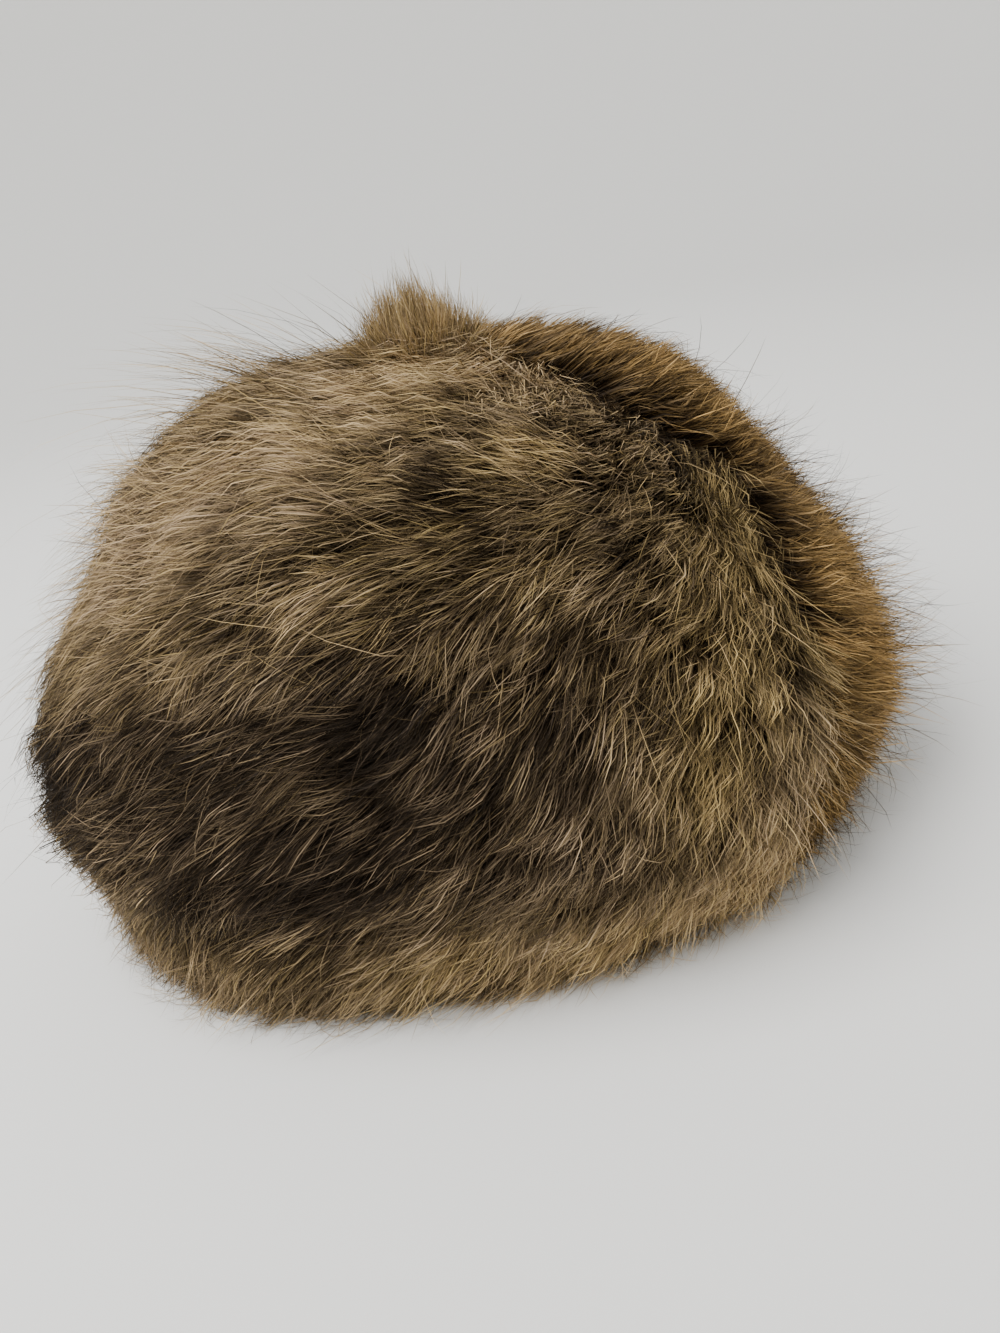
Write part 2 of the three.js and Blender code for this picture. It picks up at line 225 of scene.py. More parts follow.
def mottled_material(name, dark, pale, mottle_scale, nap_scale, nap_depth):
    """A matt material with broad mottling between two colours and a fine raised nap."""
    material, nodes, links, shader = material_named(name)
    place = nodes.new("ShaderNodeTexCoord")
    mottle = nodes.new("ShaderNodeTexNoise")
    mottle.inputs["Scale"].default_value = mottle_scale
    mottle.inputs["Detail"].default_value = 6
    nap = nodes.new("ShaderNodeTexNoise")
    nap.inputs["Scale"].default_value = nap_scale
    nap.inputs["Detail"].default_value = 4
    shade = nodes.new("ShaderNodeValToRGB")
    for element, position, colour in zip(shade.color_ramp.elements, (0.32, 0.68), (dark, pale)):
        element.position = position
        element.color = (*colour, 1)
    bump = nodes.new("ShaderNodeBump")
    bump.inputs["Strength"].default_value = 0.5
    bump.inputs["Distance"].default_value = nap_depth
    links.new(place.outputs["Object"], mottle.inputs["Vector"])
    links.new(place.outputs["Object"], nap.inputs["Vector"])
    links.new(mottle.outputs["Fac"], shade.inputs["Fac"])
    links.new(shade.outputs["Color"], shader.inputs["Base Color"])
    links.new(nap.outputs["Fac"], bump.inputs["Height"])
    links.new(bump.outputs["Normal"], shader.inputs["Normal"])
    shader.inputs["Roughness"].default_value = 0.92
    shader.inputs["Specular IOR Level"].default_value = 0.25
    return material


turns = np.linspace(0, 2 * np.pi, SKIN_TURNS, endpoint=False)[None, :]
ups = np.linspace(0, 1, SKIN_LEVELS)[:, None] ** SKIN_LEVELS_EASED
skin_outer = on_form(SKIN_FORM, turns, ups)
skin_outward = form_ways(SKIN_FORM, turns, ups)[2]
ridge = SEAM_RIDGE_HEIGHT * np.exp(-((past_seam(skin_outer) / SEAM_RIDGE_WIDTH) ** 2))
skin_inner = skin_outer - skin_outward * (SKIN_THICKNESS + ridge)[..., None]
skin_outer[0, :, 2] = SKIN_EDGE_HEIGHT
skin_inner[0, :, 2] = SKIN_EDGE_HEIGHT
skin_inner[-1] = skin_outer[-1] - np.array((0, 0, SKIN_THICKNESS))
leather = walled_mesh("leather", skin_outer, skin_inner, closed=True)
suede = mottled_material(
    "suede",
    dark=(0.30, 0.21, 0.13),
    pale=(0.50, 0.39, 0.26),
    mottle_scale=38,
    nap_scale=900,
    nap_depth=0.6 * MM,
)
hat_piece("leather", leather, suede, "leather_skin")

# The right pelt: deep grizzled brown fur on the hat's right and back. Its dense underfur is a
# felted layer next to the leather, and wool and longer guard hair grow out of it.
# The outer form's rows follow those that a scratch script printed from its fit to the photo's
# outline.
# They were rounded and changed by up to 6 mm.
FUR_FORM = [
    dict(front=109, back=117, side=96, height=0),
    dict(front=125, back=119, side=104, height=25),
    dict(front=121, back=124, side=106, height=50),
    dict(front=109, back=114, side=96, height=75),
    dict(front=95, back=95, side=83, height=96),
    dict(front=80, back=78, side=68, height=117),
    dict(front=57, back=56, side=49, height=130.5),
    dict(front=31, back=29, side=26, height=137),
    dict(front=7, back=-7, side=0, height=139),
]
# Where the fur is fuller or flatter: turn and across in degrees, up and tall in shares of the wall
FULLNESS = [
    dict(place="low at the back", turn=155, up=0.17, across=30, tall=0.1, fuller=0.2),
    dict(place="rim at the right", turn=120, up=0, across=28, tall=0.08, fuller=0.4),
    dict(place="parting on the crown", turn=33, up=0.72, across=9, tall=0.14, fuller=-0.4),
    dict(place="parting down the front", turn=36, up=0.4, across=8, tall=0.25, fuller=-0.3),
]
GAP = 0.3 * MM
GAP_CLOSES_WITHIN = 20 * MM
UNDERFUR_DEPTH = 0.46
UNDERFUR_LUMPS = [dict(deep=0.07, size=9 * MM, seed=5), dict(deep=0.04, size=3.5 * MM, seed=6)]
UNDERFUR_TURNS, UNDERFUR_LEVELS = 84, 30
UNDERFUR_GRAIN = dict(mottle_scale=120, nap_scale=1500, nap_depth=MM)
FORM_FINDING_ROUNDS = 5
RIPPLE_WAVES = 7
WAVE_PER_LUMP = 1.6
RIPPLE_TAMED = 1.6


def near(patch, turn, up):
    """How near a place is to the middle of a patch, 1 there and falling off smoothly around it."""
    across = difference(turn, math.radians(patch["turn"])) / math.radians(patch["across"])
    return np.exp(-(across**2) - ((up - patch["up"]) / patch["tall"]) ** 2)


def in_fur(turn, up, depth):
    """A point in the fur: depth is 0 on the leather and 1 at the outline."""
    fuller = 1.0
    for patch in FULLNESS:
        fuller = fuller + patch["fuller"] * near(patch, turn, up)
    inside, outside = on_form(SKIN_FORM, turn, up), on_form(FUR_FORM, turn, up)
    return inside + (outside - inside) * (depth * fuller)[..., None]


def rippled(points, size, seed):
    """Smooth noise, mostly from -1 to 1, with lumps of about that size."""
    draw = np.random.default_rng(seed)
    total = np.zeros(points.shape[:-1])
    for _ in range(RIPPLE_WAVES):
        way = draw.normal(size=3)
        way *= 2 * np.pi / (size * WAVE_PER_LUMP) / np.linalg.norm(way) * draw.uniform(0.6, 1.5)
        total += np.sin(points @ way + draw.uniform(0, 2 * np.pi))
    return total / math.sqrt(RIPPLE_WAVES / 2) / RIPPLE_TAMED


def underfur(name, side, look, node):
    """The felted underfur of one pelt, a lumpy layer that ends at the seam."""
    share = np.linspace(0, 1, UNDERFUR_TURNS)[None, :]
    up = np.linspace(0, 1, UNDERFUR_LEVELS)[:, None] + 0 * share
    back = SEAM_BACK_TURN if side == "right" else SEAM_BACK_TURN - 2 * math.pi
    turn = np.ones(up.shape) * share * back
    for _ in range(FORM_FINDING_ROUNDS):
        points = in_fur(turn, up, np.full(up.shape, UNDERFUR_DEPTH))
        gap = GAP / 2 / np.maximum(length_of(points - CROWN_CENTRE)[..., 0], GAP_CLOSES_WITHIN)
        front = seam_turn(points[..., 2])
        wanted = front + (back - front) * share
        wanted += np.sign(back - front) * gap * (1 - 2 * share)
        turn = turn + difference(wanted, azimuth(points))
    depth = np.full(up.shape, UNDERFUR_DEPTH)
    for lump in UNDERFUR_LUMPS:
        depth = depth + lump["deep"] * rippled(points, lump["size"], lump["seed"])
    outer = in_fur(turn, up, depth)
    inner = on_form(SKIN_FORM, turn, up) + form_ways(SKIN_FORM, turn, up)[2] * GAP
    outer[-1] = in_fur(turn[-1], up[-1], np.full(UNDERFUR_TURNS, UNDERFUR_DEPTH))
    inner[-1] = on_form(SKIN_FORM, turn[-1], up[-1]) + np.array((0, 0, GAP))
    outer[0, :, 2] = 0
    inner[0, :, 2] = 0
    if side == "left":
        outer, inner = outer[:, ::-1], inner[:, ::-1]
    hat_piece(name, walled_mesh(name, outer, inner, closed=False), look, node)


dark_underfur = mottled_material(
    "dark_underfur", dark=(0.020, 0.014, 0.009), pale=(0.06, 0.04, 0.022), **UNDERFUR_GRAIN
)
underfur("right_underfur", "right", dark_underfur, "fur_right")

# How the right pelt is combed: degrees below the level way round to the back, or towards the
# back on top, at ten turns from the front and ten levels, whose shares of the way up come first.
# The angles were first written by hand. A scratch script then compared the hair's direction in
# the photo and in a render, and printed the corrected rows that stand here.
LEVELS = dict(
    rim=0.05, hem=0.15, low=0.28, waist=0.36, mid=0.44, chest=0.52, neck=0.58, high=0.66, top=0.76, crown=0.88
)
COMBED_RIGHT = [
    dict(turn=30, rim=88, hem=85, low=62, waist=47, mid=33, chest=26, neck=29, high=47, top=59, crown=32),
    dict(turn=45, rim=85, hem=67, low=57, waist=27, mid=18, chest=19, neck=24, high=24, top=41, crown=34),
    dict(turn=60, rim=76, hem=48, low=32, waist=28, mid=28, chest=-8, neck=-8, high=-12, top=15, crown=27),
    dict(turn=75, rim=74, hem=35, low=48, waist=41, mid=38, chest=36, neck=12, high=-15, top=-14, crown=8),
    dict(turn=90, rim=53, hem=26, low=32, waist=31, mid=36, chest=20, neck=-6, high=2, top=-8, crown=0),
    dict(turn=105, rim=56, hem=28, low=22, waist=25, mid=38, chest=32, neck=10, high=0, top=-22, crown=-8),
    dict(turn=120, rim=76, hem=58, low=44, waist=44, mid=48, chest=38, neck=22, high=14, top=-10, crown=-22),
    dict(turn=135, rim=70, hem=48, low=34, waist=54, mid=62, chest=50, neck=30, high=18, top=-13, crown=-25),
    dict(turn=150, rim=80, hem=60, low=48, waist=59, mid=68, chest=54, neck=34, high=18, top=-17, crown=-20),
    dict(turn=180, rim=90, hem=90, low=90, waist=90, mid=90, chest=88, neck=85, high=70, top=40, crown=0),
]
TANGLE = dict(turn=46, up=0.735, across=15, tall=0.045, strength=0.9)
ON_TOP_FROM, ON_TOP_AT = 0.55, 0.8
SEAM_LAP = 4.5 * MM
SEAM_SEEN_AT_DEPTH = 0.8
HIGHEST_ROOT = 0.995
CROWN_FROM = 0.7
CROWN_SEARCH = (0.3, 0.999)
HALVINGS = 14


def chart_degrees(turn):
    """Turns in degrees from the seam behind on, as the charts have them."""
    lowest = math.degrees(SEAM_BACK_TURN) - 360
    return (np.degrees(turn) - lowest) % 360 + lowest


def combed(side, turn, up):
    """The way that the fur is combed, a unit vector along the form, and the outward normal."""
    chart = COMBED_RIGHT if side == "right" else COMBED_LEFT
    turns, at = [row["turn"] for row in chart], chart_degrees(turn)
    slopes = np.array([np.interp(at, turns, [row[name] for row in chart]) for name in LEVELS])
    place = np.interp(up, list(LEVELS.values()), range(len(LEVELS)))
    low = np.minimum(place.astype(int), len(LEVELS) - 2)
    each = np.arange(len(turn))
    slope = slopes[low, each] + (slopes[low + 1, each] - slopes[low, each]) * (place - low)
    slope = np.radians(slope)[:, None]
    around, upward, outward = form_ways(FUR_FORM, turn, up)
    if side == "right":
        level = unit(around) * np.where(np.sin(turn) < 0, -1, 1)[:, None]
        on_top = np.clip((up - ON_TOP_FROM) / (ON_TOP_AT - ON_TOP_FROM), 0, 1)[:, None]
        backward = np.array((0.0, 1.0, 0.0)) - outward * outward[:, 1:2]
        level = unit(level * (1 - on_top) + unit(backward) * on_top)
    else:
        level = -unit(around)
    direction = level * np.cos(slope) - unit(upward) * np.sin(slope)
    direction -= outward * (direction * outward).sum(-1, keepdims=True)
    return unit(direction), outward


def under_crown(flat):
    """The turn and the way up of the crown's points at places on the plan."""
    low, high = (np.full(len(flat), end) for end in CROWN_SEARCH)
    for _ in range(HALVINGS):
        up = (low + high) / 2
        front, back, side, _height = np.moveaxis(between_rows(FUR_FORM, COLUMNS, up), -1, 0)
        ahead = (-flat[:, 1] - (front - back) / 2) / ((front + back) / 2)
        aside = -flat[:, 0] / side
        outside = np.abs(ahead) ** OVAL_EXPONENT + np.abs(aside) ** OVAL_EXPONENT > 1
        high = np.where(outside, up, high)
        low = np.where(outside, low, up)
    return np.arctan2(aside, ahead), up


def walked(turn, up, direction, distance):
    """Where one gets to over the fur, that far in a direction."""
    around, upward, _outward = form_ways(FUR_FORM, turn, up)
    round_squared, rise_squared = (around**2).sum(-1), (upward**2).sum(-1)
    skew = (around * upward).sum(-1)
    by_round, by_rise = (direction * around).sum(-1), (direction * upward).sum(-1)
    each = distance / np.maximum(round_squared * rise_squared - skew**2, 1e-12)
    new_turn = turn + each * (by_round * rise_squared - by_rise * skew)
    new_up = up + each * (by_rise * round_squared - by_round * skew)
    crown = (up > CROWN_FROM).nonzero()[0]
    flat = on_form(FUR_FORM, turn[crown], up[crown]) + direction[crown] * distance[crown, None]
    new_turn[crown], new_up[crown] = under_crown(flat[:, :2])
    return new_turn, new_up


def scattered(side, count, draw):
    """Roots spread evenly over one pelt, as their turn and way up. The right pelt's hair laps
    over the seam a little."""
    turns, ups, have = [], [], 0
    while have < count:
        turn, up = draw.uniform(-np.pi, np.pi, count), draw.uniform(0.0, HIGHEST_ROOT, count)
        around, upward, _outward = form_ways(FUR_FORM, turn, up)
        area = length_of(np.cross(around, upward))[:, 0]
        keep = draw.uniform(0, area.max(), count) < area
        beyond_lap = past_seam(in_fur(turn, up, np.full(count, SEAM_SEEN_AT_DEPTH))) > -SEAM_LAP
        keep &= beyond_lap == (side == "right")
        turns.append(turn[keep])
        ups.append(up[keep])
        have += keep.sum()
    return np.concatenate(turns)[:count], np.concatenate(ups)[:count]


# Where hairs stand off the rest: the share of them, how much longer they are and how far their
# tips rise, in shares of the fur's depth
WISPS = [
    dict(place="behind the crown", turn=165, up=0.89, across=45, tall=0.08, share=0.06, longer=0.5, rise=1.4),
    dict(place="back edge", turn=155, up=0.62, across=28, tall=0.12, share=0.10, longer=0.4, rise=0.7),
    dict(place="front edge", turn=8, up=0.28, across=32, tall=0.2, share=0.11, longer=0.5, rise=0.7),
    dict(place="rim", turn=90, up=0.0, across=400, tall=0.12, share=0.14, longer=0.7, rise=0.6),
    dict(place="all over", turn=90, up=0.5, across=900, tall=3, share=0.012, longer=0.2, rise=0.25),
]
TRIMMED_AT = np.array((121.5, 141.5, 162.0)) * MM
MOST_TRIMMED = 0.9
# Shorter hair towards the front and the seam
HAIR_LENGTHS = [
    dict(turn=-152, longer=1.05),
    dict(turn=-60, longer=0.9),
    dict(turn=10, longer=0.75),
    dict(turn=45, longer=0.72),
    dict(turn=75, longer=0.85),
    dict(turn=115, longer=1.08),
    dict(turn=208, longer=1.1),
]
FLOOR_CLEARANCE = 0.35 * MM
LYING_LAYERS = 5
FLOOR_SPLAY = 0.8
STREAKED = 0.75
# How unruly the hair is: patches in metres, sway in radians, and the rest in shares
SWAY_PATCH, LENGTH_PATCH, TUFT_SIZE = 14 * MM, 11 * MM, 4 * MM
PROUD_SEED, TONE_SEED = 7, 8
TANGLED_SWAY, TANGLED_SHORTER, TANGLED_BOW = 2.4, 0.45, 3
TIP_UNEVEN = 0.14
LEAST_WISP = 0.3
WHOLLY_RISEN, RISEN_SHORTER, RISEN_ARCH = 0.6, 0.3, 0.55
SWAYED_ON = 1.2
LEAST_PULL, MIDDLE_PULL = 0.5, 0.5
FREE_WHEN_RISEN, FREED_BY_RISE = 0.8, 3
SEEN_MIDDLE, SEEN_TIP = 0.4, 0.6


def off_the_floor(points, clear):
    """Hair that would hang below the rim's plane splays out over it instead."""
    under = np.maximum(clear - points[:, 2], 0)
    out = points - CROWN_CENTRE
    out[:, 2] = 0
    points = points + unit(out) * under[:, None] * FLOOR_SPLAY
    points[:, 2] = np.maximum(points[:, 2], clear)
    return points


def trimmed(middles, tips):
    """Hairs that would reach too far out are as much shorter."""
    over = (np.abs(tips) - TRIMMED_AT) / np.maximum(np.abs(tips) - np.abs(middles), 0.1 * MM)
    return middles + (tips - middles) * (1 - np.clip(over.max(-1), 0, MOST_TRIMMED))[:, None]


def along_the_hair(points, direction):
    """The same points, drawn together along the hair, so that noise at them is streaked that way."""
    return points - direction * ((points - CROWN_CENTRE) * direction).sum(-1, keepdims=True) * STREAKED


def grown(side, kind, seed):
    """One kind of hair over a pelt: each hair's root, middle and tip, and how the tufts lie."""
    draw = np.random.default_rng(seed)
    turn, up = scattered(side, kind["count"], draw)
    count = len(turn)
    surface = in_fur(turn, up, np.ones(count))
    direction, outward = combed(side, turn, up)
    streaks = along_the_hair(surface, direction)
    across = np.cross(outward, direction)
    tangle = TANGLE["strength"] * near(TANGLE, turn, up) if side == "right" else np.zeros(count)
    sway = kind["sway"] * (0.5 * rippled(surface, SWAY_PATCH, seed + 1) + 0.5 * draw.normal(size=count))
    sway = sway + tangle * draw.uniform(-TANGLED_SWAY, TANGLED_SWAY, count)
    direction = direction * np.cos(sway)[:, None] + across * np.sin(sway)[:, None]
    turns, longer = [row["turn"] for row in HAIR_LENGTHS], [row["longer"] for row in HAIR_LENGTHS]
    length = kind["length"] * np.interp(chart_degrees(turn), turns, longer)
    uneven = 0.5 * rippled(surface, LENGTH_PATCH, seed + 2) + 0.5 * draw.uniform(-1, 1, count)
    length *= 1 + kind["uneven"] * uneven
    length *= 1 - TANGLED_SHORTER * tangle
    rise = np.zeros(count)
    for wisp in WISPS:
        stands_off = draw.uniform(0, 1, count) < wisp["share"] * kind["wispy"] * near(wisp, turn, up)
        some = stands_off * draw.uniform(LEAST_WISP, 1, count)
        length *= 1 + wisp["longer"] * some
        rise = np.maximum(rise, wisp["rise"] * some)
    proud = kind["ragged"] * 0.5 * rippled(streaks, TUFT_SIZE, PROUD_SEED)
    tip_depth = kind["tip"] + proud + TIP_UNEVEN * draw.uniform(-1, 1, count) + rise
    risen = np.minimum(rise / WHOLLY_RISEN, 1)
    reach = length * (1 - RISEN_SHORTER * risen)
    middle_at = walked(turn, up, direction, reach * 0.5)
    arch = kind["arch"] + (RISEN_ARCH - kind["arch"]) * risen
    middle_depth = kind["root"] + (tip_depth - kind["root"]) * arch
    later, later_outward = combed(side, *middle_at)
    later_across = np.cross(later_outward, later)
    sway = sway * SWAYED_ON
    later = later * np.cos(sway)[:, None] + later_across * np.sin(sway)[:, None]
    tip_at = walked(*middle_at, later, reach * 0.5)
    roots = in_fur(turn, up, np.full(count, kind["root"]))
    bow = kind["bow"] * draw.normal(size=count) * (1 + TANGLED_BOW * tangle)
    middles = in_fur(*middle_at, middle_depth) + across * bow[:, None]
    tips = in_fur(*tip_at, tip_depth)
    leader = np.arange(count)
    for gather in kind["gathers"]:
        leader = nearest_leader(roots, len(roots) // gather["hairs"], draw)
        held = 1 - FREE_WHEN_RISEN * np.minimum(rise * FREED_BY_RISE, 1)
        pull = gather["pull"] * draw.uniform(LEAST_PULL, 1, count) * held
        tips = tips + (tips[leader] - tips) * pull[:, None]
        middles = middles + (middles[leader] - middles) * pull[:, None] * MIDDLE_PULL
    clear = FLOOR_CLEARANCE * draw.uniform(1, LYING_LAYERS, count)
    middles = off_the_floor(middles, clear)
    over_middle, over_tip = in_fur(*middle_at, np.ones(count)), in_fur(*tip_at, np.ones(count))
    return dict(
        root=off_the_floor(roots, clear),
        middle=middles,
        tip=trimmed(middles, off_the_floor(tips, clear)),
        outward=outward,
        seen=over_middle * SEEN_MIDDLE + over_tip * SEEN_TIP,
        streaks=streaks,
        tangle=tangle,
        proud=proud,
        rise=rise,
        leader=leader,
        draw=draw,
    )


def nearest_leader(roots, leaders_wanted, draw):
    """For each hair, the one of a few chosen hairs whose root is nearest."""
    leaders = draw.choice(len(roots), max(leaders_wanted, 1), replace=False)
    tree = kdtree.KDTree(len(leaders))
    for index, leader in enumerate(leaders):
        tree.insert(roots[leader], index)
    tree.balance()
    return leaders[[tree.find(root)[1] for root in roots]]


BLADE = [dict(at=0, wide=0.75), dict(at=0.35, wide=1), dict(at=0.8, wide=0.6), dict(at=1, wide=0)]
WIDTH_VARIES = (0.7, 1.3)
MOST_ROLL = 1.25
EDGE_CLEARANCE = 0.2 * FLOOR_CLEARANCE
DYE_COLUMNS = 256
DYE_ROWS = 4
DYE_MARGIN = 0.04
DYE_END = 0.999
BLADE_ON_CHART = 0.3


def hair_mesh(name, hairs, kind, tone, warmth):
    """Joins hairs to one mesh of thin tapering blades, each laid on the dye chart by its colour."""
    root, middle, tip = hairs["root"], hairs["middle"], hairs["tip"]
    draw, count = hairs["draw"], len(root)
    bend = 2 * middle - (root + tip) / 2
    widths = np.interp(kind["stations"], [part["at"] for part in BLADE], [part["wide"] for part in BLADE])
    thick = kind["width"] * draw.uniform(*WIDTH_VARIES, count)
    roll = draw.uniform(-MOST_ROLL, MOST_ROLL, count)[:, None]
    column = (np.floor(np.clip(tone, 0, DYE_END) * DYE_COLUMNS) + 0.5) / DYE_COLUMNS
    row = np.floor(np.clip(warmth, 0, DYE_END) * DYE_ROWS)
    rings, dyes = [], []
    for station, width in zip(kind["stations"], widths):
        centre = root * (1 - station) ** 2 + bend * 2 * station * (1 - station) + tip * station**2
        centre[:, 2] = np.maximum(centre[:, 2], FLOOR_CLEARANCE)
        along = unit((bend - root) * (1 - station) + (tip - bend) * station)
        across = unit(np.cross(along, hairs["outward"]))
        rolled = across * np.cos(roll) + np.cross(along, across) * np.sin(roll)
        dye_row = (row + DYE_MARGIN + station * (1 - 2 * DYE_MARGIN)) / DYE_ROWS
        for side in (-1, 1) if width > 0 else (0,):
            edge = centre + rolled * (thick * width / 2 * side)[:, None]
            edge[:, 2] = np.maximum(edge[:, 2], EDGE_CLEARANCE)
            rings.append(edge)
            dyes.append(np.stack((column + BLADE_ON_CHART * side / DYE_COLUMNS, dye_row), -1))
    points, dyes = np.stack(rings, 1), np.stack(dyes, 1)
    each = points.shape[1]
    faces = [(low, low + 1, low + 3, low + 2) for low in range(0, each - 3, 2)]
    faces.append((each - 3, each - 2, each - 1))
    sizes = np.tile([len(face) for face in faces], count)
    corners = (np.arange(count)[:, None] * each + np.concatenate(faces)[None, :]).ravel()
    mesh = bpy.data.meshes.new(name)
    mesh.vertices.add(count * each)
    mesh.vertices.foreach_set("co", (points + CENTRING).astype(np.float32).ravel())
    mesh.loops.add(len(corners))
    mesh.loops.foreach_set("vertex_index", corners.astype(np.int32))
    mesh.polygons.add(len(sizes))
    mesh.polygons.foreach_set("loop_start", (np.cumsum(sizes) - sizes).astype(np.int32))
    mesh.polygons.foreach_set("use_smooth", np.ones(len(sizes), bool))
    chart = mesh.uv_layers.new(name="OFBake")
    chart.data.foreach_set("uv", dyes.reshape(-1, 2)[corners].astype(np.float32).ravel())
    mesh.update(calc_edges=True)
    return mesh


# The right pelt's strokes of paler and darker hair, from one place (turn, up) to another, with their half
# width in mm, how much paler than the rest the hair is there, and how much warmer. The stripes, the streaks,
# the yellow lock and the olive and golden strokes are the fur's own markings. Those named painted shade or
# painted shadow darken the parting's valley and a hollow by the crown, partly over dark hair, and those named
# painted light brighten the rim and the front corner for light coming up from below. The rest make the hair
# darker or paler where they lie, mostly darker low down and paler on top.
MARKS_RIGHT = [
    dict(mark="dark stripe behind", a=(204, 0.31), b=(152, 0.29), wide=14, paler=-0.3, warmer=0.0),
    dict(mark="brown low behind", a=(196, 0.15), b=(156, 0.17), wide=20, paler=-0.13, warmer=0.2),
    dict(mark="dark stripe at the back", a=(150, 0.27), b=(120, 0.38), wide=9, paler=-0.38, warmer=-0.2),
    dict(mark="dark stripe, middle", a=(115, 0.395), b=(96, 0.39), wide=10, paler=-0.38, warmer=-0.2),
    dict(mark="dark stripe, front", a=(98, 0.38), b=(77, 0.31), wide=12, paler=-0.33, warmer=-0.2),
    dict(mark="dark under the stripe", a=(100, 0.31), b=(88, 0.28), wide=9, paler=-0.14, warmer=0.0),
    dict(mark="dark middle", a=(90, 0.38), b=(72, 0.36), wide=10, paler=-0.14, warmer=0.0),
    dict(mark="brown above the stripe", a=(132, 0.47), b=(92, 0.47), wide=9, paler=-0.07, warmer=0.1),
    dict(mark="dark lower back", a=(140, 0.26), b=(106, 0.20), wide=20, paler=-0.3, warmer=-0.2),
    dict(mark="dark lower side", a=(104, 0.24), b=(72, 0.18), wide=16, paler=-0.18, warmer=-0.2),
    dict(mark="dark back corner", a=(150, 0.38), b=(142, 0.22), wide=14, paler=-0.14, warmer=0.1),
    dict(mark="low dark field", a=(122, 0.30), b=(90, 0.26), wide=13, paler=-0.18, warmer=-0.1),
    dict(mark="low dark patch", a=(120, 0.20), b=(112, 0.18), wide=9, paler=-0.16, warmer=-0.1),
    dict(mark="dark side", a=(80, 0.48), b=(66, 0.40), wide=14, paler=-0.22, warmer=0.0),
    dict(mark="pale patch in the side", a=(70, 0.50), b=(74, 0.49), wide=7, paler=0.14, warmer=0.1),
    dict(mark="pale band behind the crown", a=(138, 0.62), b=(98, 0.84), wide=13, paler=0.24, warmer=0.0),
    dict(mark="pale top", a=(112, 0.72), b=(98, 0.74), wide=14, paler=0.14, warmer=0.0),
    dict(mark="pale back edge", a=(150, 0.52), b=(136, 0.58), wide=12, paler=0.14, warmer=-0.1),
    dict(mark="pale crown", a=(78, 0.88), b=(46, 0.77), wide=12, paler=0.26, warmer=0.0),
    dict(mark="yellow lock", a=(65, 0.635), b=(74, 0.655), wide=5, paler=0.56, warmer=0.3),
    dict(mark="yellow lock below it", a=(86, 0.60), b=(82, 0.60), wide=4, paler=0.26, warmer=0.2),
    dict(mark="whorl's heart", a=(61, 0.585), b=(63, 0.58), wide=4, paler=-0.16, warmer=0.0),
    # Painted shadow below the yellow lock, beside the crown.
    dict(mark="painted shadow beside the crown", a=(77, 0.64), b=(86, 0.63), wide=8, paler=-0.3, warmer=0.1),
    dict(mark="brown streak", a=(96, 0.585), b=(108, 0.57), wide=5, paler=-0.24, warmer=0.2),
    dict(mark="dark streak", a=(80, 0.57), b=(94, 0.565), wide=8, paler=-0.26, warmer=0.1),
    dict(mark="dark streak below it", a=(92, 0.51), b=(100, 0.46), wide=4, paler=-0.14, warmer=0.1),
    dict(mark="golden rim", a=(104, 0.07), b=(92, 0.07), wide=8, paler=0.1, warmer=0.2),
    # Painted light: the rim is paler here for light coming up from below.
    dict(mark="painted light on the rim", a=(90, 0.05), b=(60, 0.07), wide=10, paler=0.36, warmer=0.1),
    dict(mark="dark rim at the back", a=(130, 0.12), b=(112, 0.10), wide=11, paler=-0.22, warmer=0.1),
    dict(mark="olive gold side", a=(64, 0.22), b=(46, 0.46), wide=16, paler=0.04, warmer=0.4),
    dict(mark="olive beside the seam", a=(38, 0.30), b=(30, 0.52), wide=13, paler=-0.04, warmer=0.6),
    dict(mark="pale side", a=(60, 0.18), b=(66, 0.26), wide=9, paler=0.12, warmer=0.0),
    # Painted light: the front corner is paler for light coming up from below.
    dict(mark="painted light on the front corner", a=(48, 0.17), b=(58, 0.07), wide=14, paler=0.34, warmer=0.0),
    # Painted shade: these four strokes darken the parting's valley along the seam, partly over dark hair and
    # dark underfur.
    dict(mark="painted shade by the seam, low", a=(46, 0.30), b=(49, 0.22), wide=5, paler=-0.3, warmer=0.1),
    dict(mark="painted shade by the seam, high", a=(33, 0.43), b=(38, 0.34), wide=6, paler=-0.34, warmer=0.2),
    dict(mark="painted shade below the crown", a=(29, 0.66), b=(42, 0.55), wide=8, paler=-0.38, warmer=0.1),
    dict(mark="painted shade in the seam's pit", a=(27, 0.69), b=(31, 0.62), wide=9, paler=-0.6, warmer=-0.2),
]


def marked(points, marks, tone, warmth):
    """How pale and how warm a pelt is at points, from its base and its strokes of markings and painted light
    and shade.
    """
    tones, warmths = np.full(len(points), tone), np.full(len(points), warmth)
    for stroke in marks:
        (turn_a, up_a), (turn_b, up_b) = stroke["a"], stroke["b"]
        start, end = in_fur(np.radians((turn_a, turn_b)), np.array((up_a, up_b)), np.ones(2))
        length = end - start
        share = np.clip((points - start) @ length / max(length @ length, 1e-9), 0, 1)
        far = length_of(points - start - share[:, None] * length)[:, 0] / (stroke["wide"] * MM)
        tones += stroke["paler"] * np.exp(-(far**2))
        warmths += stroke["warmer"] * np.exp(-(far**2))
    return tones, warmths


TIP_FROM, TIP_TO = 0.8, 0.97
TINTED_FROM, TINTED_TO = 0.5, 0.1
PALENESS_CURVE = 1.75
HAIR_ROUGHNESS, HAIR_SPECULAR = 0.58, 0.07


